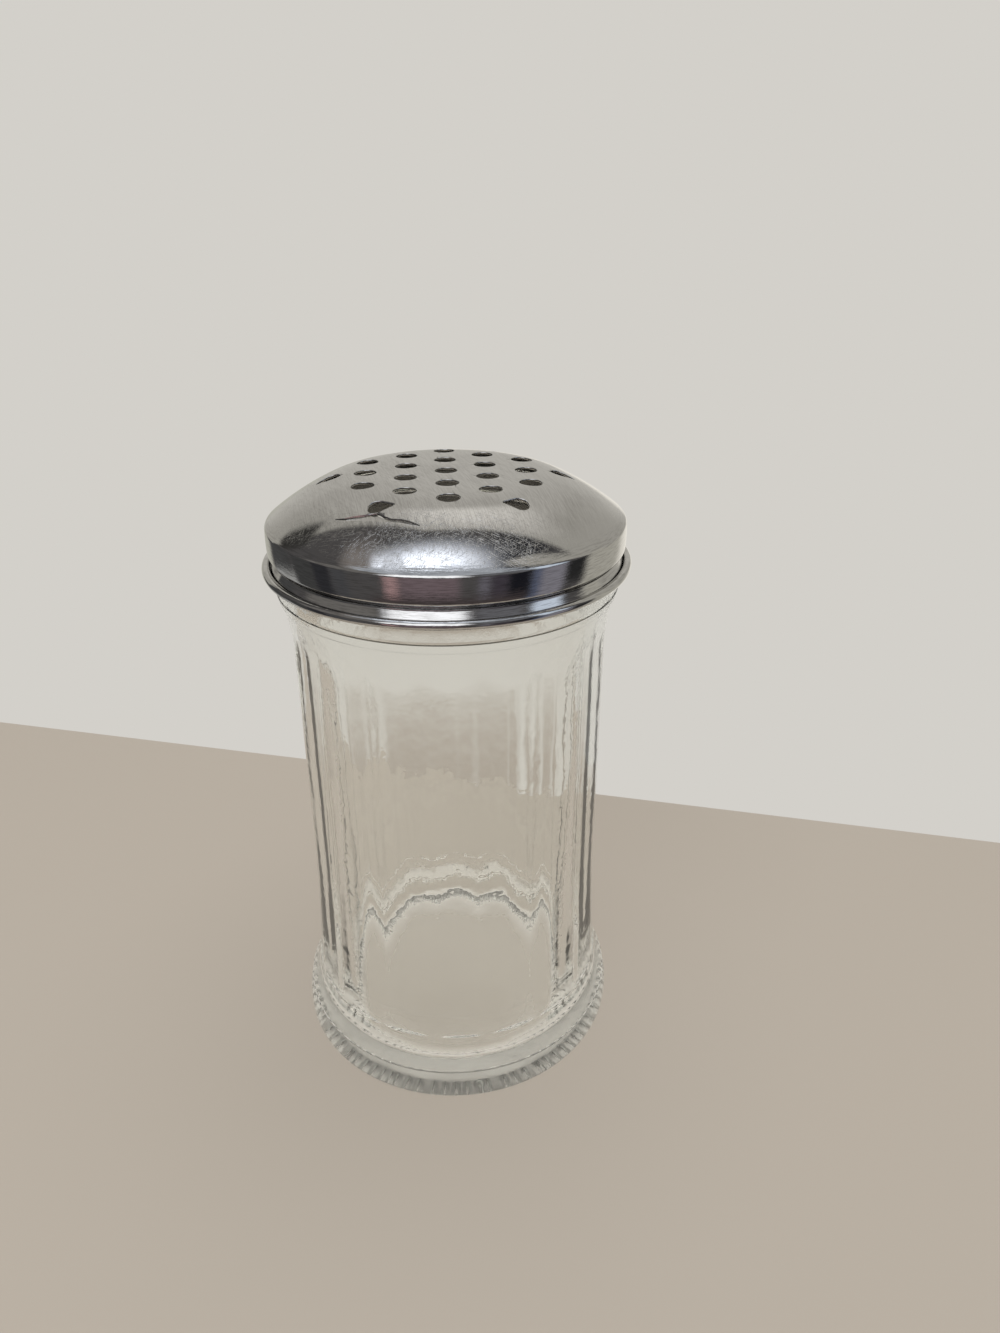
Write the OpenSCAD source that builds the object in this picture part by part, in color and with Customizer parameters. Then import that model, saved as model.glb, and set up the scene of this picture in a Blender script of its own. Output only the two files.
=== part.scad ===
// Table shaker for grated hard cheese: a clear pressed glass jar with flat upright panels, closed by
// a cap that is pressed from one sheet of stainless steel, with a domed and perforated top.
// The origin is the middle of the jar's base on the table, +Z is up, and lengths are in millimetres.

/* [Jar outside] */
// Distance across two opposite panels
flats_d = 70; // [60:0.5:80]
// Height of the jar from the table to the top of its lip
jar_h = 135.2; // [110:0.1:170]
// Number of flat panels round the body
panel_count = 18; // [14:2:24]
// How far each panel leans out at its foot
panel_flare = 1.1; // [0.6:0.1:1.6]
// Height of the foot of the panels above the table
foot_z = 17.2; // [14:0.1:24]
// How far the base ring stands out past the panels
base_out = 5; // [3.5:0.1:7]
// Height of the straight side of the base ring
ring_h = 4; // [3.5:0.25:7]
// Rounding between the base ring and the face it stands on
heel_r = 2.8; // [1:0.1:3.2]
// How far the smooth collar below the cap stands out past the panels
collar_out = 2; // [1.2:0.1:3]
// Height of the collar
collar_h = 6.5; // [5:0.1:10]

/* [Jar neck and inside] */
// Depth of the step from the collar in to the neck
neck_in = 1.4; // [1:0.1:2]
// Thickness of the neck's wall, which the lip rounds off
lip_t = 3.3; // [2.4:0.1:4]
// Thickness of the body's wall behind the middle of a panel
wall_t = 3.4; // [2.4:0.1:4.5]
// Thickness of the glass floor over the face it stands on
floor_t = 4.6; // [3.5:0.1:8]
// Rounding between the inside wall and the floor
floor_r = 4; // [2:0.25:8]
// Width of the flat ring that the jar stands on
stand_w = 6.7; // [4:0.1:10]
// Depth of the hollow under the floor
kick_h = 1.4; // [0.6:0.1:2.4]

/* [Cap] */
// Thickness of the cap's steel sheet
sheet_t = 0.45; // [0.3:0.05:0.6]
// Depth that the neck leaves between its wall and the crest of its screw thread
thread_h = 0.95; // [0.6:0.05:1.2]
// Clearance between the thread's crest and the cap's rolled groove
lift_gap = 0.3; // [0.2:0.05:0.5]
// Clearance between the lip and the inside of the cap where it seats
seat_gap = 0.2; // [0.1:0.05:0.3]
// Clearance between the collar's top and the cap's curled edge above it
rim_gap = 0.3; // [0.2:0.05:1]
// Depth of the rolled groove below the upper band
groove_depth = 1.3; // [0.9:0.1:1.8]
// Height of the upper band between its two edges
band_h = 4.8; // [4:0.1:7]
// How far the curled edge stands out past the upper band
curl_reach = 1.4; // [1:0.1:2]
// Diameter of the nearly flat top that most holes are in
crown_d = 39; // [30:0.5:42]
// How far the top falls from its middle to the edge of that flat
crown_drop = 0.3; // [0.2:0.05:1]
// Diameter at which the knuckle round the top ends and the shoulder starts
knuckle_d = 52; // [48:0.5:56]

/* [Holes] */
// Diameter of the holes in the hexagon
hole_d = 4.7; // [3:0.1:6]
// Distance between neighbouring holes of the hexagon
hole_pitch = 9.8; // [7:0.1:10.5]
// Rings of holes round the middle one
hole_rings = 2; // [1:1:2]
// Turn of the whole pattern about the jar's axis, in degrees
pattern_turn = 1; // [-30:1:30]
// Diameter of the round end of the six outer holes
tear_d = 3.7; // [3:0.1:5.5]
// Diameter of the narrow end of the six outer holes
tear_tip_d = 1; // [0.6:0.1:2.5]
// Distance between the two ends' centres
tear_length = 2.8; // [2.4:0.1:3.5]
// Diameter of the circle that the middles of the outer holes are on
tear_circle_d = 49.5; // [46:0.5:56]

/* [Hidden] */
$fn = 96;

// Overrun of every cut past the faces that it opens
over = 1;
// Points of an outline that lie closer than this are one point
least_step = 0.001;

// Radii that several outlines share
flat_r = flats_d / 2;
base_r = flat_r + base_out;
collar_r = flat_r + collar_out;
neck_r = collar_r - neck_in;
mouth_r = neck_r - lip_t;
cavity_r = flat_r - wall_t;
kick_r = base_r - heel_r - stand_w;

// The lip is fully rounded
lip_r = (neck_r - mouth_r) / 2;
lip_x = (neck_r + mouth_r) / 2;
lip_z = jar_h - lip_r;

// Bends of the cap's sheet, measured at the middle of its thickness
crease_r = 0.8;
groove_r = 0.8;
curl_r = 0.72;
// Place round the cap and turn of each outer hole in degrees. The drawing of the dome has pulled the
// two front ones sideways towards each other and the others outwards.
tear_places = [[0, 180], [60, 180], [120, 180], [180, 180], [238.5, -64], [301.5, 64]];
// Slopes of the cap's sheet in degrees
knuckle_slope = 25;
shoulder_slope = 38.5;
barrel_slope = 4;
flank_slope = 40;
skirt_slope = 30;
// The curl turns this far before its edge comes back to the skirt
curl_turn = 288;

// Radii of the cap at the middle of its sheet
groove_mid_r = neck_r + thread_h + lift_gap + sheet_t / 2;
band_mid_r = groove_mid_r + groove_depth;
curl_mid_r = band_mid_r + curl_reach;
crown_r = crown_d / 2;
knuckle_r = knuckle_d / 2;

// Radii of the long arcs of the cap's outline, from the diameters that they join
crown_arc_r = (crown_r * crown_r + crown_drop * crown_drop) / (2 * crown_drop);
crown_slope = asin(crown_r / crown_arc_r);
knuckle_arc_r = (knuckle_r - crown_r) / (sin(knuckle_slope) - sin(crown_slope));
barrel_arc_r = band_h / (2 * sin(barrel_slope));
band_edge_r = band_mid_r - barrel_arc_r * (1 - cos(barrel_slope));
shoulder_end_r = band_edge_r - crease_r * (cos(barrel_slope) - sin(shoulder_slope));
shoulder_arc_r = (shoulder_end_r - knuckle_r) / (sin(shoulder_slope) - sin(knuckle_slope));
flank_end_r = groove_mid_r + groove_r * (1 - sin(flank_slope));
skirt_end_r = curl_mid_r - curl_r * (1 + cos(skirt_slope));

// A place on an outline is [radius, height, heading in degrees]. These give the place at the end of
// a bend to a new heading, and at the end of a straight run.
function bend(s, r, heading) =
    let (k = r * sign(heading - s[2]))
    [s[0] + k * (sin(heading) - sin(s[2])), s[1] + k * (cos(s[2]) - cos(heading)), heading];
function run(s, length) = [s[0] + length * cos(s[2]), s[1] + length * sin(s[2]), s[2]];
function bend_points(s, r, heading, n) =
    [for (i = [0:n]) bend(s, r, s[2] + (heading - s[2]) * i / n)];
// The point at a distance to the left of a place
function beside(s, d) = [s[0] - d * sin(s[2]), s[1] + d * cos(s[2])];
function last(points) = points[len(points) - 1];
function backwards(points) = [for (i = [len(points) - 1:-1:0]) points[i]];

// Middle of the cap's sheet from the middle of its top down to the edge of its curl
crown_path = bend_points([0, 0, 0], crown_arc_r, -crown_slope, 4);
knuckle_path = bend_points(last(crown_path), knuckle_arc_r, -knuckle_slope, 6);
shoulder_path = bend_points(last(knuckle_path), shoulder_arc_r, -shoulder_slope, 6);
crease_path = bend_points(last(shoulder_path), crease_r, -90 + barrel_slope, 5);
band_path = bend_points(last(crease_path), barrel_arc_r, -90 - barrel_slope, 4);
lower_crease_path = bend_points(last(band_path), crease_r, -180 + flank_slope, 5);
flank_start = last(lower_crease_path);
flank_end = run(flank_start, (flank_start[0] - flank_end_r) / cos(flank_slope));
groove_path = bend_points(flank_end, groove_r, -90 + skirt_slope, 6);
skirt_start = last(groove_path);
skirt_end = run(skirt_start, (skirt_end_r - skirt_start[0]) / sin(skirt_slope));
curl_path = bend_points(skirt_end, curl_r, skirt_end[2] + curl_turn, 18);
sheet_path = concat(crown_path, knuckle_path, shoulder_path, crease_path, band_path,
    lower_crease_path, groove_path, curl_path);

// The lip touches the shoulder where the two lie at one slope, so that sets the cap's height
seat_reach = sheet_t / 2 + seat_gap + lip_r;
seat_sin = (lip_x - knuckle_r + shoulder_arc_r * sin(knuckle_slope)) / (shoulder_arc_r - seat_reach);
seat_slope = asin(seat_sin);
seat_place = bend(last(knuckle_path), shoulder_arc_r, -seat_slope);
cap_z = lip_z + seat_reach * cos(seat_slope) - seat_place[1];
curl_low_z = cap_z + min([for (s = curl_path) s[1]]) - sheet_t / 2;

// Levels up the jar: the collar ends just below the cap's curled edge
collar_top_z = curl_low_z - rim_gap;
collar_z = collar_top_z - collar_h;
// The body sweeps out to the collar over this height, and the panels are upright this much less far
// up and down than the round body behind them, which gives their tops the shape of an arch
sweep_h = 8.1;
arch_drop = 1.2;
sweep_z = collar_z - sweep_h;
arch_z = sweep_z - arch_drop;
// The panels lean out over this share of the height between their feet and the sweep
flare_share = 0.42;
flare_z = foot_z + flare_share * (sweep_z - foot_z);
panel_flare_z = flare_z + arch_drop;

// The edges between panels are rounded off by this much
edge_soft = 0.12;
half_panel = 180 / panel_count;
land_r = flat_r / cos(half_panel) - edge_soft;
foot_r = (flat_r + panel_flare) / cos(half_panel) - edge_soft;
// Rounding in the corner at the foot of a panel
foot_round = 0.5;

// Draft of the collar above its parting line, and the two roundings of the step up to the neck
collar_draft = 0.3;
step_share = 0.6;
collar_round = step_share * (collar_r - collar_draft - neck_r);
neck_round = (1 - step_share) * (collar_r - collar_draft - neck_r);
// Height of the fine ridges that the mould's parting lines leave, and how far up they lie
seam_h = 0.12;
collar_seam_share = 0.45;
base_seam_share = 0.36;
collar_seam_z = collar_z + collar_seam_share * collar_h;
base_seam_z = ring_h + base_seam_share * (foot_z - ring_h);

// Points of an arc about a centre, and of an ogee of two equal arcs that starts and ends upright
function arc_points(x, z, r, from, to, n) =
    [for (i = [0:n]) let (a = from + (to - from) * i / n) [x + r * cos(a), z + r * sin(a)]];
function ogee_points(a, b, n) =
    let (dx = b[0] - a[0], dz = b[1] - a[1], r = (dx * dx + dz * dz) / (4 * abs(dx)),
        turn = asin(abs(dz) / (2 * r)), side = sign(dx), up = sign(dz))
    abs(dx) < least_step ? [a, b] : concat(
        [for (i = [0:n]) let (t = turn * i / n)
            [a[0] + side * r * (1 - cos(t)), a[1] + up * r * sin(t)]],
        [for (i = [n - 1:-1:0]) let (t = turn * i / n)
            [b[0] - side * r * (1 - cos(t)), b[1] - up * r * sin(t)]]);
// Radius of the first half of an ogee at a height
function ogee_radius(a, b, z) =
    let (dx = b[0] - a[0], dz = b[1] - a[1], r = (dx * dx + dz * dz) / (4 * abs(dx)))
    a[0] + sign(dx) * (r - sqrt(r * r - (z - a[1]) * (z - a[1])));
// Arc that starts upright at a and turns outwards to b
function sweep_points(a, b, n) =
    let (dx = b[0] - a[0], dz = b[1] - a[1], r = (dx * dx + dz * dz) / (2 * dx),
        turn = asin(abs(dz) / r))
    [for (i = [0:n]) let (t = turn * i / n)
        [a[0] + r * (1 - cos(t)), a[1] + sign(dz) * r * sin(t)]];
// An outline without the points that repeat where two curves join
function joined(points) =
    [for (i = [0:len(points) - 1]) if (i == 0 || norm(points[i] - points[i - 1]) > least_step) points[i]];

kick_arc_r = (kick_r * kick_r + kick_h * kick_h) / (2 * kick_h);
kick_turn = asin(kick_r / kick_arc_r);

// Outside of the jar from the middle of its underside up to the lip
jar_outside = concat(
    arc_points(0, kick_h - kick_arc_r, kick_arc_r, 90, 90 - kick_turn, 6),
    arc_points(base_r - heel_r, heel_r, heel_r, -90, 0, 7),
    ogee_points([base_r, ring_h], [foot_r, foot_z], 6),
    backwards(sweep_points([land_r, flare_z], [foot_r, foot_z], 6)),
    sweep_points([land_r, sweep_z], [collar_r, collar_z], 6),
    [[collar_r, collar_seam_z]],
    arc_points(neck_r + neck_round, collar_top_z - collar_round, collar_round, 0, 90, 4),
    backwards(arc_points(neck_r + neck_round, collar_top_z + neck_round, neck_round, 180, 270, 4)),
    arc_points(lip_x, lip_z, lip_r, 0, 180, 14));

// Inside of the jar from the mouth down to the middle of the floor
jar_inside = concat(
    ogee_points([mouth_r, collar_top_z], [cavity_r, sweep_z], 4),
    backwards(arc_points(cavity_r - floor_r, floor_t + floor_r, floor_r, 270, 360, 7)),
    [[0, floor_t]]);

// Side view of what is cut away in front of one panel
panel_cut = concat(
    [[base_r + over, foot_z]],
    backwards(arc_points(flat_r + panel_flare + foot_round, foot_z + foot_round, foot_round, 180, 270, 4)),
    backwards(sweep_points([flat_r, panel_flare_z], [flat_r + panel_flare, foot_z + foot_round], 6)),
    sweep_points([flat_r, arch_z], [collar_r + over, collar_z + over], 6),
    [[base_r + over, collar_z + over]]);

module panel_cuts() {
    panel_w = 2 * base_r * tan(half_panel);
    for (i = [0:panel_count - 1]) {
        rotate([0, 0, 2 * half_panel * i - 90])
            rotate([90, 0, 0])
                linear_extrude(height = panel_w, center = true)
                    polygon(joined(panel_cut));
    }
}

// Fine ridge round the jar where two halves of the mould met
module parting_line(r, z) {
    translate([0, 0, z])
        rotate_extrude()
            polygon([[r - seam_h, -2 * seam_h], [r + seam_h, 0], [r - seam_h, 2 * seam_h]]);
}

module glass_jar() {
    color([0.83, 0.88, 0.84, 0.5]) {
        difference() {
            rotate_extrude()
                polygon(joined(concat(jar_outside, jar_inside)));
            panel_cuts();
        }
        parting_line(ogee_radius([base_r, ring_h], [foot_r, foot_z], base_seam_z), base_seam_z);
        parting_line(collar_r, collar_seam_z);
    }
}

// Hole that the drawing of the dome has pulled into a drop, about its own middle, narrow end at -X
module drop_hole() {
    big_r = tear_d / 2;
    tip_r = tear_tip_d / 2;
    big_x = (tear_length + tip_r - big_r) / 2;
    touch = 180 - acos((big_r - tip_r) / tear_length);
    polygon(concat(
        arc_points(big_x, 0, big_r, -touch, touch, 30),
        arc_points(big_x - tear_length, 0, tip_r, touch, 360 - touch, 6)));
}

module hole_cuts() {
    cut_h = -last(shoulder_path)[1] + 2 * over;
    for (q = [-hole_rings:hole_rings]) {
        for (r = [-hole_rings:hole_rings]) {
            if (abs(q + r) <= hole_rings) {
                translate([hole_pitch * cos(30) * q, hole_pitch * (r + q / 2), over - cut_h])
                    cylinder(d = hole_d, h = cut_h, $fn = 48);
            }
        }
    }
    for (tear = tear_places) {
        rotate([0, 0, tear[0]])
            translate([tear_circle_d / 2, 0, over - cut_h])
                rotate([0, 0, tear[1]])
                    linear_extrude(height = cut_h)
                        drop_hole();
    }
}

module shaker_cap() {
    color("silver")
        translate([0, 0, cap_z])
            difference() {
                rotate_extrude()
                    polygon(joined(concat(
                        [for (s = sheet_path) beside(s, sheet_t / 2)],
                        [for (s = backwards(sheet_path)) beside(s, -sheet_t / 2)])));
                rotate([0, 0, pattern_turn])
                    hole_cuts();
            }
}

glass_jar();
shaker_cap();
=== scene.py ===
from math import acos, asin, atan2, cos, degrees, hypot, pi, radians, sin, sqrt

import bpy
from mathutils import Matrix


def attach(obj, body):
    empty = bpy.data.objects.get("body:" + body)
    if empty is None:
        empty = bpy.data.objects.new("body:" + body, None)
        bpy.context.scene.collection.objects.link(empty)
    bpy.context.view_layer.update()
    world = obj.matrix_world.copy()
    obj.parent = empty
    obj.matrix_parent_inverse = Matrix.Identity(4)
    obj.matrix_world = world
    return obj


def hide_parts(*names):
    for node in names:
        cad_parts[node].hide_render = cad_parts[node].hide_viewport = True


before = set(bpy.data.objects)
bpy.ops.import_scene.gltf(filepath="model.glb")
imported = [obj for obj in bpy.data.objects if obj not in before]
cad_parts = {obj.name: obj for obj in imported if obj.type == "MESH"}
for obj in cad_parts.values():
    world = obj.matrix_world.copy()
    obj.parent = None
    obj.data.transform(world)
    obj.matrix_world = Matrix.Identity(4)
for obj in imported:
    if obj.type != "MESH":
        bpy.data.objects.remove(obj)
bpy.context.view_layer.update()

mm = 0.001

# Camera. It stands close in front of the shaker, a little above the cap, and looks down at the jar
# with a wide lens.
eye = bpy.data.cameras.new("eye")
eye.lens = 24.98
eye.sensor_width = 36
eye.clip_start = 0.01
camera = bpy.data.objects.new("camera", eye)
camera.location = (0, -0.1940, 0.1911)
camera.rotation_euler = (radians(63.96), 0, radians(-3.37))
bpy.context.scene.collection.objects.link(camera)
bpy.context.scene.camera = camera


# Glass jar. One piece of clear pressed glass: 18 flat panels, a flared base ring and a smooth collar
# from the mould, a thread on its neck for the cap, and a plunger-formed inside. Its outline is
# drawn ring by ring from half height, first up and over the lip to the floor, then down and under.
panel_count = 18
flat_r, land_r = 35.0, 35.42
foot_z, foot_r = 17.2, 36.54
base_r, side_z, heel_r = 40.0, 4.0, 2.8
bearing_r, kick_r, kick_h = 37.2, 30.5, 1.4
collar_r, collar_z, collar_top_z = 37.4, 116.8, 122.587
seam_low_z, seam_high_z, base_seam_z, seam_h = 118.95, 119.07, 8.75, 0.12
neck_r, lip_x, lip_z, lip_r = 35.6, 33.95, 133.55, 1.65
mouth_r, cavity_r, floor_z, floor_round = 32.3, 31.6, 4.6, 4.0
start_z = 80.0
# The panels are flat and upright between two heights. Above, they arch out to the collar, and their
# edges a little higher up. Below, they lean out more and more to the foot.
lean_low_z, lean_high_z, edge_lean_z = 56.53, 106.79, 107.99
arch_R, edge_arch_R, foot_lean_R = 19.2, 29.8, 703.0
# Round of the panels' edges, and cuts along each flat of the first ring
panel_edge, flat_cuts = 1.5, 13


def start_edit(vertices):
    """Goes into edit mode with only the vertices at these indices selected."""
    if bpy.context.mode != "OBJECT":
        bpy.ops.object.mode_set(mode="OBJECT")
    mesh = bpy.context.object.data
    mesh.polygons.foreach_set("select", [False] * len(mesh.polygons))
    mesh.edges.foreach_set("select", [False] * len(mesh.edges))
    mesh.vertices.foreach_set("select", [False] * len(mesh.vertices))
    for i in vertices:
        mesh.vertices[i].select = True
    bpy.ops.object.mode_set(mode="EDIT")
    bpy.ops.mesh.select_mode(type="VERT")


class Turning:
    """A ring in edit mode that is drawn on to the next height and radius, as on a lathe."""

    def __init__(self, z, radii):
        self.z, self.radii = z, radii

    def to(self, z, flat, corner=None):
        """Draws the ring on: its first and its widest point get these radii."""
        corner = flat if corner is None else corner
        first, widest = self.radii[0], max(self.radii)
        mean = sum(self.radii) / len(self.radii)
        want, even = corner / flat, 0
        if widest - first > 1e-5:
            even = (widest - want * first) / (widest - mean + want * (mean - first))
        even = min(max(even, 0), 1)
        bpy.ops.mesh.extrude_region_move(TRANSFORM_OT_translate={"value": (0, 0, (z - self.z) * mm)})
        if even > 1e-4:
            bpy.ops.transform.tosphere(value=even)
            self.radii = [r + (mean - r) * even for r in self.radii]
        grow = flat / self.radii[0]
        if abs(grow - 1) > 1e-7:
            bpy.ops.transform.resize(value=(grow, grow, 1), center_override=(0, 0, z * mm))
            self.radii = [r * grow for r in self.radii]
        self.z = z

    def along(self, outline):
        for r, z in outline:
            self.to(z, r)

    def close(self, z):
        """Ends the shape in a pole on the axis."""
        self.to(z, 0.3)
        bpy.ops.mesh.merge(type="CENTER")


def wall_points():
    """How many points the mesh in edit mode has by now."""
    bpy.context.object.update_from_editmode()
    return len(bpy.context.object.data.vertices)


def arc(cx, cz, r, start, end, steps):
    """Points on an arc after its start, angles in degrees from the outward direction."""
    return [(cx + r * cos(radians(start + (end - start) * i / steps)),
             cz + r * sin(radians(start + (end - start) * i / steps))) for i in range(1, steps + 1)]


def smooth(t):
    t = min(max(t, 0), 1)
    return t * t * (3 - 2 * t)


def sweep(start, end, steps):
    """A soft S from one radius and height to another, upright at both ends."""
    return [(start[0] + (end[0] - start[0]) * smooth(i / steps),
             start[1] + (end[1] - start[1]) * i / steps) for i in range(1, steps + 1)]


bpy.ops.object.select_all(action="DESELECT")
bpy.ops.mesh.primitive_circle_add(
    vertices=panel_count, radius=flat_r * mm / cos(pi / panel_count), rotation=(0, 0, pi / panel_count),
    location=(0, 0, start_z * mm))
jar = bpy.context.object
jar.name = "pressed_glass_jar"
bpy.ops.object.transform_apply(location=True, rotation=True)
bpy.ops.object.mode_set(mode="EDIT")
bpy.ops.mesh.select_all(action="SELECT")
bpy.ops.mesh.bevel(affect="VERTICES", offset=panel_edge * mm, segments=6, profile=0.5)
bpy.ops.mesh.select_mode(type="EDGE")
bpy.ops.object.mode_set(mode="OBJECT")
for edge in jar.data.edges:
    a, b = (jar.data.vertices[i].co for i in edge.vertices)
    edge.select = (a - b).length > 5 * mm
bpy.ops.object.mode_set(mode="EDIT")
bpy.ops.mesh.subdivide(number_cuts=flat_cuts)
bpy.ops.object.mode_set(mode="OBJECT")
ring_size = len(jar.data.vertices)
ring_radii = sorted(hypot(v.co.x, v.co.y) / mm for v in jar.data.vertices)

start_edit(range(ring_size))
wall = Turning(start_z, ring_radii)
corner_ratio = ring_radii[-1] / ring_radii[0]
for i in range(1, 18):
    wall.to(start_z + (lean_high_z - start_z) * i / 17, flat_r, flat_r * corner_ratio)
for i in range(1, 13):
    z = lean_high_z + (collar_z - lean_high_z) * i / 12
    flat = flat_r + arch_R - sqrt(arch_R ** 2 - (z - lean_high_z) ** 2)
    land = land_r + edge_arch_R - sqrt(edge_arch_R ** 2 - max(z - edge_lean_z, 0) ** 2)
    wall.to(z, min(flat, land), land)
wall.along([(36.78, 116.86), (36.84, 116.93)] + arc(collar_r - 3.94, 118.85, 3.94, -30, 0, 7))
wall.along([(collar_r + seam_h, seam_low_z), (collar_r + seam_h, seam_high_z),
            (collar_r, 119.17), (collar_r, 119.7), (collar_r - 0.02, 120.5), (collar_r - 0.06, 121.3)])
wall.along([(collar_r - 0.12, 121.7)] + arc(36.58, 121.8, 0.68, 10, 90, 5) + [(35.95, 122.5)])
wall.along([(35.75, 122.6), (35.64, 122.8), (neck_r, 123.2)])
wall.along([(neck_r, 123.2 + (lip_z - 123.2) * i / 10) for i in range(1, 11)])
wall.along(arc(lip_x, lip_z, lip_r, 0, 180, 14))
wall.along([(mouth_r, lip_z - (lip_z - collar_top_z) * i / 7) for i in range(1, 8)])
wall.along(sweep((mouth_r, collar_top_z), (cavity_r, edge_lean_z), 9))
fillet_z = floor_z + floor_round
wall.along([(cavity_r, edge_lean_z - (edge_lean_z - fillet_z) * i / 50) for i in range(1, 51)])
wall.along(arc(cavity_r - floor_round, fillet_z, floor_round, 0, -90, 10))
wall.along([(r, floor_z) for r in (22, 18, 13, 8, 4, 1.5)])
wall.close(floor_z)

start_edit(range(ring_size))
wall = Turning(start_z, ring_radii)
for i in range(1, 16):
    wall.to(start_z + (lean_low_z - start_z) * i / 15, flat_r, flat_r * corner_ratio)
for i in range(1, 25):
    z = lean_low_z + (17.75 - lean_low_z) * i / 24
    flat = flat_r + (lean_low_z - z) ** 2 / (2 * foot_lean_R)
    wall.to(z, flat, flat * corner_ratio)
for z, flat, corner in ((17.5, 36.12, 36.54), (17.33, 36.22, 36.55), (17.22, 36.38, 36.56),
                        (17.1, 36.52, 36.57), (16.9, 36.58, 36.58)):
    wall.to(z, flat, corner)
half = ((base_r - foot_r) / 2, (foot_z - side_z) / 2)
ogee_r = (half[0] ** 2 + half[1] ** 2) / (2 * half[0])
for z in (16.4, 15.6, 14.7, 13.8, 12.9, 12, 11.2, 10.4, 9.6, 9.0, 8.86, 8.8, 8.7, 8.64, 8.4, 7.6, 6.8, 6.0,
          5.2, 4.6, 4.0):
    if z > foot_z - half[1]:
        r = foot_r + ogee_r - sqrt(ogee_r ** 2 - (foot_z - z) ** 2)
    else:
        r = base_r - ogee_r + sqrt(ogee_r ** 2 - (z - side_z) ** 2)
    wall.to(z, r + (seam_h if abs(z - base_seam_z) < 0.06 else 0))
wall.along([(base_r, 3.4)] + arc(bearing_r, heel_r, heel_r, 0, -90, 10)[:9])
stipple_start = wall_points()
wall.along([(r, 0) for r in (bearing_r - 0.1, 36, 34.6, 33.2, 31.8)])
stipple_end = wall_points()
wall.along([(31.0, 0), (30.5, 0)])
kick_R = (kick_r ** 2 + kick_h ** 2) / (2 * kick_h)
wall.along([(r, kick_h - kick_R + sqrt(kick_R ** 2 - r ** 2)) for r in (29.8, 28, 24, 18, 12, 6, 2)])
wall.close(kick_h)
# The face that the jar stands on is stippled: every fourth point of its rings is raised.
stipple_h = 0.6
start_edit([i for i in range(stipple_start - ring_size, stipple_end) if i % 4 == 0])
bpy.ops.transform.translate(value=(0, 0, stipple_h * mm))
bpy.ops.mesh.select_all(action="SELECT")
bpy.ops.mesh.normals_make_consistent(inside=False)
bpy.ops.object.mode_set(mode="OBJECT")


def only(piece):
    """Makes this the one selected and active object."""
    bpy.ops.object.select_all(action="DESELECT")
    piece.select_set(True)
    bpy.context.view_layer.objects.active = piece


def boolean(piece, tool, operation):
    """Joins or cuts a piece with a tool, which is used up."""
    change = piece.modifiers.new("change", "BOOLEAN")
    change.object, change.operation, change.solver = tool, operation, "EXACT"
    only(piece)
    bpy.ops.object.modifier_apply(modifier="change")
    bpy.data.objects.remove(tool)


# The inside follows the panels softly, which leaves the wall about as thick all round.
follow = jar.vertex_groups.new(name="follow_panels")
half_panel, follow_share = pi / panel_count, 0.25
for vertex in jar.data.vertices:
    r, z = hypot(vertex.co.x, vertex.co.y) / mm, vertex.co.z / mm
    if 30 < r < 32 and floor_z + 1 < z < 112:
        off = (atan2(vertex.co.y, vertex.co.x) + half_panel) % (2 * half_panel) - half_panel
        inward = 1 - (1 / cos(off) - 1) / (1 / cos(half_panel) - 1)
        follow.add([vertex.index], inward * smooth((112 - z) / 10), "REPLACE")
facets = jar.modifiers.new("facets", "DISPLACE")
facets.strength = follow_share * cavity_r * (1 - cos(half_panel)) * mm
facets.mid_level, facets.vertex_group = 0, "follow_panels"
only(jar)
bpy.ops.object.modifier_apply(modifier="facets")

# The press leaves the walls a little uneven, in long upright waves on the inside and short shallow
# ones on the panels.
for name, low_r, high_r, low_z, high_z, amount, grain in (
        ("plunger_waves", 30.8, 32.6, 14.5, 128, 0.3, (0.016, 0.016, 0.07)),
        ("panel_waves", 34.8, 36.8, 19, 112, 0.16, (0.012, 0.012, 0.03))):
    group = jar.vertex_groups.new(name=name)
    group.add([v.index for v in jar.data.vertices if low_r < hypot(v.co.x, v.co.y) / mm < high_r
               and low_z < v.co.z / mm < high_z], 1, "REPLACE")
    clouds = bpy.data.textures.new(name, "CLOUDS")
    clouds.noise_scale, clouds.noise_depth = 0.7, 1
    frame_of_waves = bpy.data.objects.new(name, None)
    frame_of_waves.scale = grain
    bpy.context.scene.collection.objects.link(frame_of_waves)
    waves = jar.modifiers.new(name, "DISPLACE")
    waves.texture, waves.texture_coords, waves.texture_coords_object = clouds, "OBJECT", frame_of_waves
    waves.strength, waves.mid_level, waves.vertex_group = amount * mm, 0.5, name
    only(jar)
    bpy.ops.object.modifier_apply(modifier=name)
    bpy.data.objects.remove(frame_of_waves)
jar.vertex_groups.clear()

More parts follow.
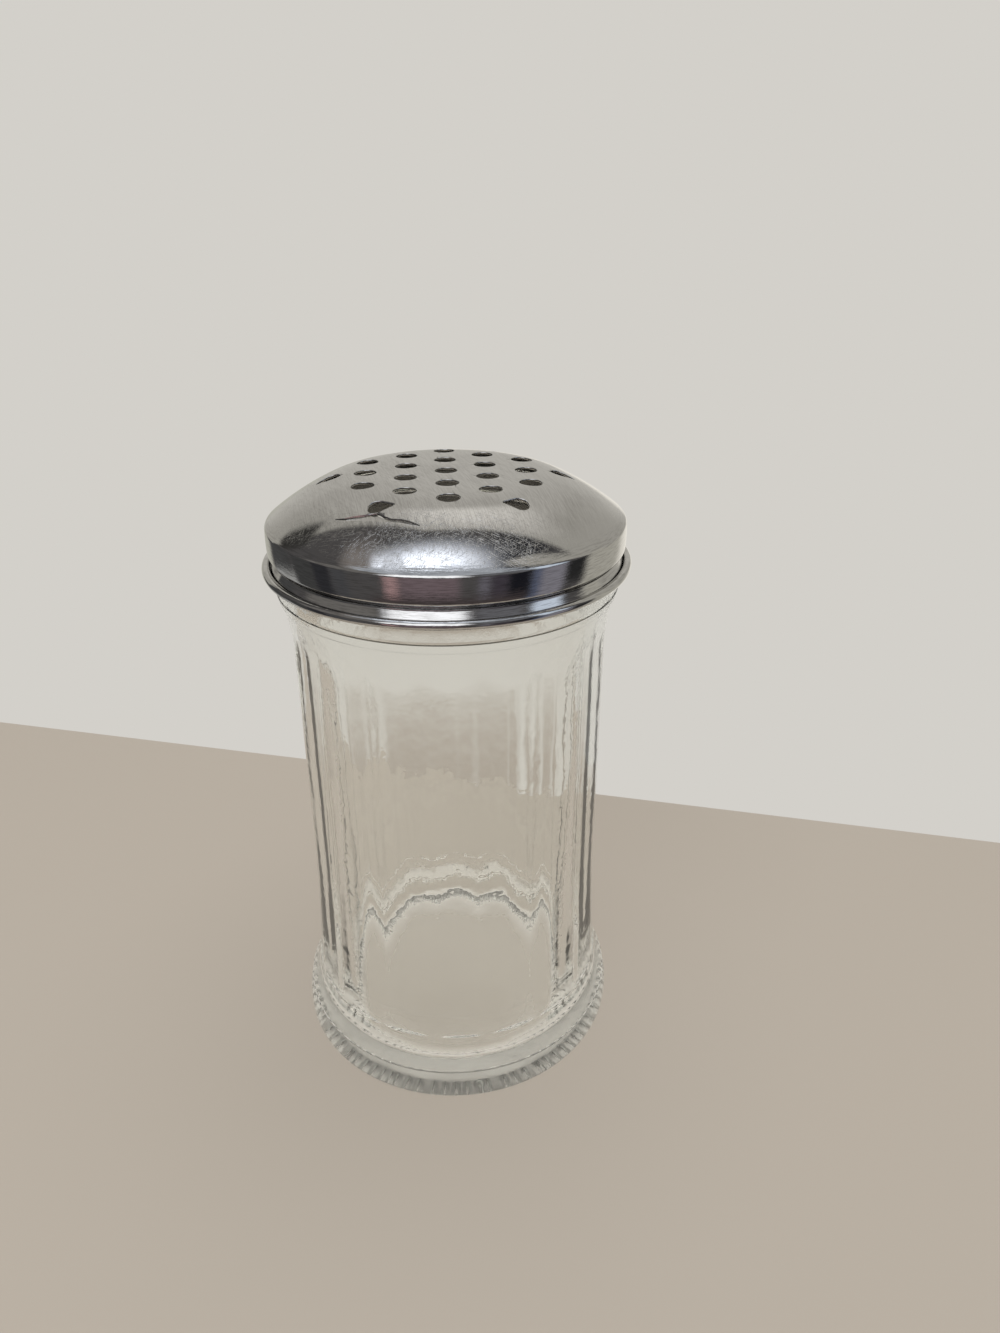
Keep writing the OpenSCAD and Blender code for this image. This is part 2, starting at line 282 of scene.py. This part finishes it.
# The neck's thread is a round bead of nearly one turn whose ends run out into the glass. It swells
# out of the neck in three steps, and sinks back in three.
bead_r, bead_x, bead_z, bead_rise, bead_turn = 0.9, 34.76, 127.3, 3.9, 335.0
bead_steps, bead_swell = 110, 0.0085
bpy.ops.object.select_all(action="DESELECT")
bpy.ops.mesh.primitive_circle_add(vertices=14, radius=bead_r * mm, fill_type="NGON",
                                  rotation=(pi / 2, 0, 0), location=(bead_x * mm, 0, bead_z * mm))
bead = bpy.context.object
bpy.ops.object.transform_apply(location=True, rotation=True)
bpy.ops.object.mode_set(mode="EDIT")
bpy.ops.mesh.select_all(action="SELECT")
for i in range(bead_steps):
    bpy.ops.mesh.extrude_region_move(TRANSFORM_OT_translate={"value": (0, 0, bead_rise * mm / bead_steps)})
    bpy.ops.transform.rotate(
        value=-radians(bead_turn / bead_steps), orient_axis="Z", center_override=(0, 0, 0))
    done = (i + 1) / bead_steps
    for at, way in ((0.03, 1), (0.06, 1), (0.09, 1), (0.92, -1), (0.95, -1), (0.98, -1)):
        if abs(done - at) < 0.5 / bead_steps:
            grow = 1 + way * bead_swell
            bpy.ops.transform.resize(value=(grow, grow, 1), center_override=(0, 0, 0))
bpy.ops.mesh.select_all(action="SELECT")
bpy.ops.mesh.normals_make_consistent(inside=False)
bpy.ops.object.mode_set(mode="OBJECT")
boolean(jar, bead, "UNION")


class Socket:
    """A node socket that takes part in Python maths: each operator adds its Math node."""

    def __init__(self, tree, socket):
        self.tree, self.socket = tree, socket

    def node(self, kind, settings=None, inputs=None, output=0):
        new = self.tree.nodes.new("ShaderNode" + kind)
        for name, value in (settings or {}).items():
            if name == "stops":
                stops = new.color_ramp.elements
                while len(stops) < len(value):
                    stops.new(0.5)
                for stop, (place, colour) in zip(stops, value):
                    stop.position, stop.color = place, (*colour, 1)
            else:
                setattr(new, name, value)
        for name, value in (inputs or {}).items():
            if isinstance(value, Socket):
                self.tree.links.new(value.socket, new.inputs[name])
            else:
                new.inputs[name].default_value = value
        return Socket(self.tree, new.outputs[output])

    def maths(self, operation, *values):
        return self.node("Math", {"operation": operation}, dict(enumerate(values)))

    def __add__(self, other):
        return self.maths("ADD", self, other)

    def __sub__(self, other):
        return self.maths("SUBTRACT", self, other)

    def __rsub__(self, other):
        return self.maths("SUBTRACT", other, self)

    def __mul__(self, other):
        return self.maths("MULTIPLY", self, other)

    def __truediv__(self, other):
        return self.maths("DIVIDE", self, other)

    __radd__, __rmul__ = __add__, __mul__

    def root(self):
        return self.maths("SQRT", self)

    def size(self):
        return self.maths("ABSOLUTE", self)

    def at_most(self, limit):
        return self.maths("MINIMUM", self, limit)

    def at_least(self, limit):
        return self.maths("MAXIMUM", self, limit)

    def turn_from(self, along):
        """Angle in radians of a point that lies this far to the side and so far along."""
        return self.maths("ARCTAN2", self, along)

    def rise(self, low, high):
        """0 below low and 1 above high, smooth between them."""
        return self.node("MapRange", {"interpolation_type": "SMOOTHSTEP"},
                         {"Value": self, "From Min": low, "From Max": high})

    def within(self, low, high, soft):
        """1 from low to high and 0 outside, with soft ends."""
        return self.rise(low - soft, low + soft) * (1 - self.rise(high - soft, high + soft))

    def mix(self, other, amount):
        """This colour, and where amount is 1 the other one."""
        mixed = self.tree.nodes.new("ShaderNodeMix")
        mixed.data_type = "RGBA"
        for socket, value in zip((mixed.inputs[0], mixed.inputs[6], mixed.inputs[7]), (amount, self, other)):
            if isinstance(value, Socket):
                self.tree.links.new(value.socket, socket)
            else:
                socket.default_value = value if isinstance(value, (int, float)) else (*value, 1)
        return Socket(self.tree, mixed.outputs[2])


def new_finish(name):
    """A node material with nothing in it, its output and the coordinates on its object."""
    finish = bpy.data.materials.new(name)
    finish.use_nodes = True
    finish.node_tree.nodes.clear()
    output = finish.node_tree.nodes.new("ShaderNodeOutputMaterial")
    start = Socket(finish.node_tree, output.inputs["Surface"])
    return finish, output, start.node("TexCoord", output=3)


# The glass is clear with a faint green tint, drawn in upright streaks and rippled below the collar.
# Its stippled face is rougher, and a dark line of painted shade runs along the mould's parting line.
seam_shade_reach = 0.1
clear_glass, glass_output, place = new_finish("clear_pressed_glass")
melt = place.node("Mapping", {}, {"Vector": place, "Scale": (60, 60, 9)})
streaks = melt.node("TexNoise", {}, {"Vector": melt, "Scale": 1.6, "Detail": 2.0, "Roughness": 0.45})
ripple = place.node("TexNoise", {}, {"Vector": place, "Scale": 240, "Detail": 2.0, "Roughness": 0.5})
fine = place.node("TexNoise", {}, {"Vector": place, "Scale": 1300, "Detail": 1.0, "Roughness": 0.5})
apart = place.node("SeparateXYZ", {}, {0: place}).socket.node
x, y, up = (Socket(clear_glass.node_tree, apart.outputs[i]) for i in range(3))
outside = (x * x + y * y).rise(0.035 ** 2, 0.036 ** 2)
stipple = 1 - up.rise(0.0002, 0.0016)
uneven = place.node("Bump", {}, {
    "Strength": 0.42, "Distance": 0.0008,
    "Height": streaks * 0.8 + ripple * 0.16 + fine * up.rise(0.092, 0.112) * 0.05})
# Painted shade: a dark line in the glass colour along the outside of the parting line.
seam_shade = up.within((seam_low_z - seam_shade_reach) * mm, (seam_high_z + seam_shade_reach) * mm, 0.00004) * outside
glass_colour = place.node("RGB", {}, {})
glass_colour.socket.default_value = (0.992, 0.992, 0.976, 1)
glass = place.node("BsdfPrincipled", {}, {
    "Base Color": glass_colour.mix((0.05, 0.048, 0.04), seam_shade), "Roughness": stipple * 0.3, "IOR": 1.52,
    "Transmission Weight": 0.97, "Normal": uneven})
tint = place.node("VolumeAbsorption", {}, {"Color": (0.80, 0.86, 0.78, 1), "Density": 11.0})
clear_glass.node_tree.links.new(glass.socket, glass_output.inputs["Surface"])
clear_glass.node_tree.links.new(tint.socket, glass_output.inputs["Volume"])
jar.data.materials.append(clear_glass)
bpy.ops.object.shade_smooth()
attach(jar, "jar")
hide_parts("glass_jar")
jar.visible_shadow = False
jar.visible_diffuse = False


# Cap. One disc of stainless sheet, drawn to a flat-topped dome, pierced with 19 round holes and six
# drop-shaped ones, rolled in below its band to form the thread, flared and curled at its edge.
sheet_t = 0.45
apex_z = 142.384
crown_r, crown_drop, knuckle_r, knuckle_slope = 19.5, 0.3, 26.0, 25.0
shoulder_slope, band_slope, groove_slope, skirt_slope = 38.5, 4.0, 40.0, 30.0
crease_r, groove_r, curl_r, curl_turn, band_h = 0.8, 0.8, 0.72, 288.0, 4.8
groove_mid_r, band_mid_r, curl_mid_r = 37.075, 38.375, 39.775
cap_steps = 288


class Outline:
    """The middle of the sheet from the apex outwards: radius, height and heading in degrees."""

    def __init__(self, z):
        self.points, self.heading = [(0.0, z)], 0.0

    def bend(self, r, heading, steps):
        (x, z), start = self.points[-1], self.heading
        turn = r if heading > start else -r
        for i in range(1, steps + 1):
            h = start + (heading - start) * i / steps
            self.points.append((x + turn * (sin(radians(h)) - sin(radians(start))),
                                z + turn * (cos(radians(start)) - cos(radians(h)))))
        self.heading = heading

    def straight(self, x, steps):
        x0, z0 = self.points[-1]
        for i in range(1, steps + 1):
            d = (x - x0) * i / steps
            self.points.append((x0 + d, z0 + d * sin(radians(self.heading)) / cos(radians(self.heading))))


crown_R = (crown_r ** 2 + crown_drop ** 2) / (2 * crown_drop)
crown_slope = degrees(asin(crown_r / crown_R))
knuckle_R = (knuckle_r - crown_r) / (sin(radians(knuckle_slope)) - sin(radians(crown_slope)))
band_R = band_h / (2 * sin(radians(band_slope)))
band_end_r = band_mid_r - band_R * (1 - cos(radians(band_slope)))
shoulder_end = band_end_r - crease_r * (cos(radians(band_slope)) - sin(radians(shoulder_slope)))
shoulder_R = (shoulder_end - knuckle_r) / (sin(radians(shoulder_slope)) - sin(radians(knuckle_slope)))
sheet = Outline(apex_z)
sheet.bend(crown_R, -crown_slope, 10)
sheet.bend(knuckle_R, -knuckle_slope, 10)
sheet.bend(shoulder_R, -shoulder_slope, 14)
sheet.bend(crease_r, -90 + band_slope, 5)
sheet.bend(band_R, -90 - band_slope, 8)
sheet.bend(groove_r, -180 + groove_slope, 5)
sheet.straight(groove_mid_r + groove_r * (1 - sin(radians(groove_slope))), 1)
sheet.bend(groove_r, -90 + skirt_slope, 8)
sheet.straight(curl_mid_r - curl_r * (1 + cos(radians(skirt_slope))), 3)
sheet.bend(curl_r, -90 + skirt_slope + curl_turn, 22)

# The dome is satin, brushed mostly one way, with scratches from use, and its shoulder and the rolled
# rings below are bright with fine lines round them. The inner side is rough, and painted almost black
# for the shade inside the cap.
steel, steel_output, place = new_finish("satin_stainless_sheet")
apart = place.node("SeparateXYZ", {}, {0: place}).socket.node
x, y, z = (Socket(steel.node_tree, apart.outputs[i]) for i in range(3))


def brushed(turn, along, across, detail=2.0):
    """Noise drawn out along one direction: sizes of a mark in mm, direction in degrees from +X."""
    marks = place.node("Mapping", {"vector_type": "TEXTURE"}, {
        "Vector": place, "Rotation": (0, 0, radians(turn)), "Scale": (along * mm, across * mm, 3 * mm)})
    return place.node("TexNoise", {}, {"Vector": marks, "Scale": 1.0, "Detail": detail, "Roughness": 0.55})


def near(px, py, low, high):
    """1 within low mm of a place on the dome, 0 beyond high mm."""
    off_x, off_y = x - px * mm, y - py * mm
    return 1 - (off_x * off_x + off_y * off_y).root().rise(low * mm, high * mm)


dome = z.rise(0.1330, 0.1352)
satin = z.rise(0.1345, 0.1392) * 0.75 + dome * 0.25
round_way = y.turn_from(x)
rolled_place = place.node("CombineXYZ", {}, {0: round_way * 11.0, 1: z * 4200.0, 2: 0.0})
rolled = place.node("TexNoise", {}, {"Vector": rolled_place, "Scale": 1.0, "Detail": 3.0, "Roughness": 0.6})
polish = brushed(-76, 8, 0.30)
cross_polish = brushed(-58, 12, 0.4)
blotches = place.node("TexNoise", {}, {"Vector": place, "Scale": 95, "Detail": 3.0, "Roughness": 0.6})
rubbed = blotches.rise(0.42, 0.66)
fine_polish = brushed(-80, 5, 0.18)
tool_marks = polish * 0.35 + cross_polish * 0.25 + fine_polish * 0.4
deep = (brushed(35, 1.8, 0.07, 0.0).rise(0.70, 0.78) + brushed(-20, 2.2, 0.06, 0.0).rise(0.70, 0.78)
        + brushed(75, 2, 0.07, 0.0).rise(0.71, 0.79))
wear = near(-6, -31, 2, 9) + near(10, -33, 2, 8) + 0.12
scratches = (deep * wear * dome).at_most(1)
drops = near(-17.2, -32.3, 1.2, 1.9) * 0.4 + near(-9.9, -35.2, 1.6, 2.3) * 0.8
bright = place.node("RGB", {}, {})
bright.socket.default_value = (0.60, 0.595, 0.585, 1)
marks = tool_marks.rise(0.38, 0.66)
steel_shader = place.node("BsdfPrincipled", {}, {
    "Base Color": bright.mix((0.36, 0.352, 0.34), (marks * 0.5 + rubbed * 0.22) * satin
                             + rolled.rise(0.42, 0.66) * (1 - dome) * 0.6),
    "Metallic": 1.0,
    "Roughness": 0.03 + satin * (marks * 0.06 + rubbed * 0.03) + (1 - dome) * rolled * 0.03
    + scratches * 0.14 + drops * 0.2,
    "Normal": place.node("Bump", {}, {"Strength": 0.6, "Distance": 0.00002, "Height": (
        tool_marks * satin + rolled * (1 - dome) * 1.5 - scratches * 2.4 + drops * 0.6)})})
steel.node_tree.links.new(steel_shader.socket, steel_output.inputs["Surface"])

# Painted shade: the inner side's near-black colour stands in for the shade inside the cap.
shaded_inner_steel, shaded_inner_output, place = new_finish("inner_side_painted_dark")
smudges = place.node("TexNoise", {}, {"Vector": place, "Scale": 90, "Detail": 3.0, "Roughness": 0.6})
shaded_inner_shader = place.node("BsdfPrincipled", {}, {
    "Base Color": (0.055, 0.051, 0.048, 1), "Metallic": 1.0, "Roughness": 0.45 + smudges * 0.1})
shaded_inner_steel.node_tree.links.new(shaded_inner_shader.socket, shaded_inner_output.inputs["Surface"])

bpy.ops.object.select_all(action="DESELECT")
bpy.ops.mesh.primitive_circle_add(
    vertices=cap_steps, radius=sheet.points[1][0] * mm, fill_type="TRIFAN",
    location=(0, 0, sheet.points[1][1] * mm))
cap = bpy.context.object
cap.name = "stainless_shaker_cap"
for finish in (steel, shaded_inner_steel):
    cap.data.materials.append(finish)
bpy.ops.object.transform_apply(location=True)
start_edit([v.index for v in cap.data.vertices if hypot(v.co.x, v.co.y) > 0.1 * mm])
lathe = Turning(sheet.points[1][1], [sheet.points[1][0]] * cap_steps)
lathe.along(sheet.points[2:])
bpy.ops.mesh.select_all(action="SELECT")
bpy.ops.mesh.normals_make_consistent(inside=False)
bpy.ops.object.mode_set(mode="OBJECT")
gauge = cap.modifiers.new("sheet", "SOLIDIFY")
gauge.thickness = sheet_t * mm
gauge.offset = 0
gauge.material_offset = 1
bpy.ops.object.modifier_apply(modifier="sheet")

# The curl turns the inner side out, and there it gets the skirt's bright finish instead of the inner side's
# painted shade.
curl_foot_z, curl_top_z, curl_inner_r = 123.9, 125.0, 38.5
for face in cap.data.polygons:
    face_z, face_r = face.center.z / mm, hypot(face.center.x, face.center.y) / mm
    if face_z < curl_foot_z or (face_z < curl_top_z and face_r > curl_inner_r):
        face.material_index = 0

# Punches for a hexagon of round holes, and for six holes outside it that are drawn out to a tip.
top_z, cut_depth = apex_z + 2, 14.0
hole_r, hole_pitch, pattern_turn = 2.35, 9.8, radians(1)
tear_r, tear_tip_r, tear_length, tear_circle_r = 1.85, 0.5, 2.8, 24.75
tear_places = ((0, 180), (60, 180), (120, 180), (180, 180), (238.5, -64), (301.5, 64))
hole_places = []
for q in range(-2, 3):
    for r in range(-2, 3):
        if abs(q + r) <= 2:
            x, y = hole_pitch * cos(radians(30)) * q, hole_pitch * (r + q / 2)
            hole_places.append((x * cos(pattern_turn) - y * sin(pattern_turn),
                                x * sin(pattern_turn) + y * cos(pattern_turn)))

bpy.ops.object.select_all(action="DESELECT")
punches = []
for x, y in hole_places:
    bpy.ops.mesh.primitive_cylinder_add(
        vertices=40, radius=hole_r * mm, depth=cut_depth * mm,
        location=(x * mm, y * mm, (top_z - cut_depth / 2) * mm))
    punches.append(bpy.context.object)
for place_round, own_turn in tear_places:
    place_round = radians(place_round) + pattern_turn
    turn = place_round + radians(own_turn)
    shift = (tear_length + tear_tip_r - tear_r) / 2
    big_x = tear_circle_r * cos(place_round) + shift * cos(turn)
    big_y = tear_circle_r * sin(place_round) + shift * sin(turn)
    bpy.ops.mesh.primitive_cylinder_add(
        vertices=48, radius=tear_r * mm, depth=cut_depth * mm,
        location=(big_x * mm, big_y * mm, (top_z - cut_depth / 2) * mm), rotation=(0, 0, turn))
    punch = bpy.context.object
    lean = acos((tear_r - tear_tip_r) / tear_length)
    start_edit([v.index for v in punch.data.vertices if v.co.x < -tear_r * cos(lean) * mm * 1.0001])
    bpy.ops.transform.translate(value=(-tear_length * cos(turn) * mm, -tear_length * sin(turn) * mm, 0))
    tip = ((big_x - tear_length * cos(turn)) * mm, (big_y - tear_length * sin(turn)) * mm, 0)
    shrink = tear_tip_r / tear_r
    bpy.ops.transform.resize(value=(shrink, shrink, 1), center_override=tip)
    bpy.ops.object.mode_set(mode="OBJECT")
    punches.append(punch)
for punch in punches:
    punch.select_set(True)
bpy.context.view_layer.objects.active = punches[0]
bpy.ops.object.join()
boolean(cap, bpy.context.object, "DIFFERENCE")

# The front left of the dome is torn in one curved line, and a thin flap below the tear is pressed in.
# Each place holds x, the tear's y, the flap's lower y and the width of the tear.
flap_depth = 0.3
tear_line = [
    (-21.4, -21.1, -21.3, 0.05), (-19.5, -22.0, -22.45, 0.26), (-17.3, -22.5, -23.7, 0.30),
    (-15.4, -23.0, -24.6, 0.34), (-13.1, -23.4, -25.5, 0.40), (-11.9, -24.6, -26.0, 0.34),
    (-10.4, -25.7, -26.7, 0.30), (-8.5, -26.3, -27.2, 0.32), (-7.0, -27.0, -27.7, 0.26),
    (-5.1, -28.2, -28.4, 0.05)]


def dome_z(x, y):
    """Height of the dome's outer face."""
    r = hypot(x, y)
    for (r0, z0), (r1, z1) in zip(sheet.points, sheet.points[1:]):
        if r0 <= r <= r1:
            return z0 + (z1 - z0) * (r - r0) / (r1 - r0) + sheet_t / 2 * 1.07
    return 0


def tool_along(places):
    """A tool drawn along X through four-cornered sections, each a list of (y, z)."""
    bpy.ops.object.select_all(action="DESELECT")
    bpy.ops.mesh.primitive_plane_add(size=mm)
    tool = bpy.context.object
    corners = tool.data.vertices
    order = (0, 1, 3, 2)
    for i, (py, pz) in zip(order, places[0][1]):
        corners[i].co = (places[0][0] * mm, py * mm, pz * mm)
    bpy.ops.object.mode_set(mode="EDIT")
    bpy.ops.mesh.select_all(action="SELECT")
    for px, section in places[1:]:
        bpy.ops.mesh.extrude_region_move(TRANSFORM_OT_translate={"value": (mm, 0, 0)})
        bpy.ops.object.mode_set(mode="OBJECT")
        drawn = [v for v in tool.data.vertices if v.select]
        drawn.sort(key=lambda v: v.index)
        for vertex, (py, pz) in zip([drawn[i] for i in order], section):
            vertex.co = (px * mm, py * mm, pz * mm)
        bpy.ops.object.mode_set(mode="EDIT")
    bpy.ops.mesh.select_all(action="SELECT")
    bpy.ops.mesh.normals_make_consistent(inside=False)
    bpy.ops.object.mode_set(mode="OBJECT")
    return tool


flap = tool_along([
    (x, [(high, dome_z(x, high) - flap_depth * min(1, (high - low) / 0.6)), (low, dome_z(x, low) - 0.01),
         (low, dome_z(x, low) + 1), (high, dome_z(x, high) + 1)]) for x, high, low, width in tear_line])
boolean(cap, flap, "DIFFERENCE")
slit = tool_along([
    (x, [(high + width / 2, dome_z(x, high) - 1), (high - width / 2, dome_z(x, high) - 1),
         (high - width / 2, dome_z(x, high) + 1), (high + width / 2, dome_z(x, high) + 1)])
    for x, high, low, width in tear_line])
boolean(cap, slit, "DIFFERENCE")

# The punches leave a small round-over at the edge of each hole.
rim_round, tear_reach = 0.14, 2.75
tear_middles = [(tear_circle_r * cos(radians(turn) + pattern_turn),
                 tear_circle_r * sin(radians(turn) + pattern_turn)) for turn, own_turn in tear_places]
only(cap)
bpy.ops.object.mode_set(mode="EDIT")
bpy.ops.mesh.select_mode(type="EDGE")
bpy.ops.mesh.select_all(action="DESELECT")
bpy.ops.mesh.edges_select_sharp(sharpness=radians(55))
bpy.ops.object.mode_set(mode="OBJECT")
for edge in cap.data.edges:
    a, b = (cap.data.vertices[i].co for i in edge.vertices)
    middle = (a + b) / 2
    at_hole = any(hypot(middle.x / mm - hx, middle.y / mm - hy) < hole_r + 0.1 for hx, hy in hole_places)
    at_tear = any(hypot(middle.x / mm - tx, middle.y / mm - ty) < tear_reach for tx, ty in tear_middles)
    edge.select = edge.select and (at_hole or at_tear) and (a - b).length < 2 * mm
bpy.ops.object.mode_set(mode="EDIT")
bpy.ops.mesh.bevel(offset=rim_round * mm, segments=3, affect="EDGES", clamp_overlap=False)
bpy.ops.object.mode_set(mode="OBJECT")
bpy.ops.object.shade_smooth_by_angle(angle=radians(35))
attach(cap, "cap")
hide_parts("shaker_cap")


# Table top. A plain pale sheet under the jar. It ends a short way behind it, so that the world's plain
# wall colour stands behind the upper half.
edge_a, edge_b, table_size = (-0.189, 0.156), (0.184, 0.051), 8
edge_turn = atan2(edge_b[1] - edge_a[1], edge_b[0] - edge_a[0])
bpy.ops.object.select_all(action="DESELECT")
bpy.ops.mesh.primitive_plane_add(size=table_size, location=(0, 0, -0.2 * mm), rotation=(0, 0, edge_turn))
table = bpy.context.object
table.name = "table"
bpy.ops.transform.translate(value=(
    (edge_a[0] + edge_b[0] + table_size * sin(edge_turn)) / 2,
    (edge_a[1] + edge_b[1] - table_size * cos(edge_turn)) / 2, 0))
table_finish, table_output, place = new_finish("plain_table")
matt_top = place.node("BsdfPrincipled", {}, {
    "Base Color": (0.50, 0.452, 0.398, 1), "Roughness": 0.9, "Specular IOR Level": 0.2})
rays = place.node("LightPath", {}, {}).socket.node
glossy, sharp, glass_depth = (
    Socket(table_finish.node_tree, rays.outputs[name])
    for name in ("Is Glossy Ray", "Is Singular Ray", "Transmission Depth"))
in_glass = glass_depth.at_most(1)
spot = place.node("NewGeometry", output=0)
from_axis = spot.node("VectorMath", {"operation": "LENGTH"}, {0: spot}, 1)
# The jar's heel gathers light on the table below it, which shows through the glass alone.
gathered = place.node("Emission", {}, {"Color": (0.78, 0.74, 0.68, 1), "Strength": 1.0})
below_heel = from_axis.rise(0.026, 0.034) * (1 - from_axis.rise(0.0405, 0.043))
lit_top = place.node("MixShader", {}, {0: below_heel * in_glass * 0.6, 1: matt_top, 2: gathered})
# The steel mirrors the room instead of the far table, but rays that the glass turns back do see it.
passed = place.node("BsdfTransparent", {}, {})
mirrored = glossy * (1 - sharp) * (1 - in_glass) * from_axis.rise(0.15, 0.20)
top_seen = place.node("MixShader", {}, {0: mirrored, 1: lit_top, 2: passed})
table_finish.node_tree.links.new(top_seen.socket, table_output.inputs["Surface"])
table.data.materials.append(table_finish)


# Light. A pale room: a broad lamp at the front left, one overhead, and a world that is plain for the
# eye and for matt surfaces, and shows the room's dark and bright sides to metal and glass.
for name, size, power, place_at, aim in (
        ("window", 0.5, 1.7, (-0.25, -0.5, 0.75), (0, 0, 0.07)),
        ("ceiling", 0.7, 2.2, (0.1, 0.1, 1.0), (0, 0, 0.07))):
    lamp = bpy.data.lights.new(name, "AREA")
    lamp.size, lamp.energy = size, power
    holder = bpy.data.objects.new(name, lamp)
    holder.location = place_at
    way = [a - b for a, b in zip(place_at, aim)]
    holder.rotation_euler = (atan2(hypot(way[0], way[1]), way[2]), 0, atan2(way[0], -way[1]))
    holder.visible_glossy = False
    holder.visible_transmission = False
    bpy.context.scene.collection.objects.link(holder)

wall_colour = (0.651, 0.631, 0.591)
room = bpy.data.worlds.new("room")
room.use_nodes = True
room.node_tree.nodes.clear()
room_output = room.node_tree.nodes.new("ShaderNodeOutputWorld")
start = Socket(room.node_tree, room_output.inputs["Surface"])
way = start.node("TexCoord", output=0)
apart = way.node("SeparateXYZ", {}, {0: way}).socket.node
x, y, z = (Socket(room.node_tree, apart.outputs[i]) for i in range(3))
azimuth = x.turn_from(0 - y) * (180 / pi)
elevation = z.maths("ARCSINE", z) * (180 / pi)
plain = start.node("RGB", {}, {})
plain.socket.default_value = (*wall_colour, 1)
# What the steel mirrors, as cards round the shaker: degrees round from the camera's side, degrees
# up, softness and colour.
seen = start.node("RGB", {}, {})
seen.socket.default_value = (0.10, 0.095, 0.095, 1)
for from_az, to_az, from_el, to_el, soft, colour in (
        (-190, -142, -60, 0, 5, (0.50, 0.49, 0.43)),
        (-140, -112, -60, 14, 4, (0.08, 0.08, 0.08)),
        (-140, -108, -60, -21.5, 4, (0.45, 0.45, 0.44)),
        (-110, -90, -60, 8, 3, (0.07, 0.07, 0.07)),
        (-90, -76, -60, 8, 2, (0.04, 0.04, 0.045)),
        (-75, -64, -60, 5, 2, (0.085, 0.085, 0.09)),
        (-39, -31, -26, -2, 1.5, (0.48, 0.31, 0.31)),
        (-30, 6, -26, 5, 2, (0.21, 0.16, 0.175)),
        (18, 24, -26, 5, 1.5, (0.18, 0.17, 0.20)),
        (25, 36, -60, 5, 1.5, (0.07, 0.06, 0.075)),
        (36, 51, -60, 5, 1.5, (0.015, 0.015, 0.02)),
        (52, 58, -60, 5, 1.5, (0.12, 0.14, 0.21)),
        (58, 76, -60, 5, 1.5, (0.28, 0.27, 0.31)),
        (77, 93, -24, 5, 1.5, (0.03, 0.03, 0.03)),
        (94, 190, -60, 22, 3, (0.52, 0.50, 0.44)),
        (138, 190, -60, 22, 8, (0.90, 0.86, 0.78)),
        (-50, 50, -60, -26, 3, (0.08, 0.065, 0.065)),
        (-100, -48, 14, 52, 4, (0.20, 0.19, 0.18)),
        (-43, 11, 17, 66, 6, (1.6, 1.62, 1.68)),
        (18, 50, 15, 60, 4, (0.17, 0.17, 0.185)),
        (56, 77, 10, 48, 4, (0.80, 0.90, 1.05))):
    mask = azimuth.within(from_az, to_az, soft) * elevation.within(from_el, to_el, 1.5)
    seen = seen.mix(colour, mask)
# Overhead it is dark to the right and dim to the left, with the window's glow in front between them,
# which ends along one edge.
from_left, from_right = (x + 0.12).at_most(0), x.at_least(0)
overhead = elevation.rise(50, 56)
seen = seen.mix((0.045, 0.045, 0.05), x.rise(0.15, 0.35) * overhead)
seen = seen.mix((0.30, 0.27, 0.25), (0 - x).rise(0.30, 0.52) * (0.42 - y).rise(0.0, 0.25) * overhead)
glow = ((0.28 - y).rise(0.0, 0.30) * (0.27 - y).rise(0.0, 0.30) * (0.40 - x).rise(0, 0.52)
        * x.rise(-0.46, -0.40))
glow_edge = y + 0.3 * from_left
seen = seen.mix((2.4, 2.55, 2.85), glow * glow_edge.rise(-0.075, -0.045) * overhead)
seen = seen.mix((0.50, 0.53, 0.58), (1 - glow_edge.rise(-0.07, -0.05)) * overhead * (y + 0.5).rise(0, 0.06))
# Behind the shaker stands the wall, brighter in its middle and with one bright spot.
wall = start.node("RGB", {}, {})
wall.socket.default_value = (0.47, 0.453, 0.41, 1)
wall = wall.mix((0.58, 0.56, 0.515), 1 - x.size().rise(0.38, 0.58))
to_spot_x, to_spot_y = (x - 0.10) * 2.5, (y - 0.44) * 5.5
to_spot = (to_spot_x * to_spot_x + to_spot_y * to_spot_y).root()
wall = wall.mix((0.97, 0.94, 0.88), 1 - to_spot.rise(0.25, 1.3))
above_edge = (y + 0.6 * from_left - 0.08 * from_right - 0.255).rise(-0.02, 0.025)
right_strip = (x - 1.1 * y).rise(0.28, 0.32) * y.rise(0.0, 0.03)
above_edge, right_strip = above_edge * elevation.rise(-6, 0), right_strip * elevation.rise(16, 22)
seen = seen.mix(wall, above_edge.at_least(right_strip))
seen = seen.mix((0.05, 0.048, 0.045), azimuth.within(-139, -128, 2.5) * elevation.within(22, 37, 2))
# Through the glass the wall is plain, with a painted brown shadow of the jar at its foot, and beside it
# the room is paler higher up and dark overhead.
painted_wall_shadow = plain.mix(
    (0.40, 0.35, 0.30), (1 - elevation.rise(-33, -24)) * (1 - (x + 0.03).size().rise(0.10, 0.34)))
behind = y.rise(0.5, 0.75)
beside = plain.mix(seen, 0.3).mix((0.85, 0.83, 0.78), elevation.rise(2, 35))
beside = beside.mix((0.20, 0.19, 0.175), elevation.rise(38, 58))
rays = start.node("LightPath", {}, {}).socket.node
glossy, sharp, transmitted = (
    Socket(room.node_tree, rays.outputs[name])
    for name in ("Is Glossy Ray", "Is Singular Ray", "Is Transmission Ray"))
mirror, through = glossy * (1 - sharp), transmitted.at_least(glossy * sharp)
background = start.node("Background", {}, {
    "Color": plain.mix(seen, mirror).mix(beside.mix(painted_wall_shadow, behind), through), "Strength": 1.0})
room.node_tree.links.new(background.socket, room_output.inputs["Surface"])
bpy.context.scene.world = room
bpy.context.scene.view_settings.view_transform = "Standard"
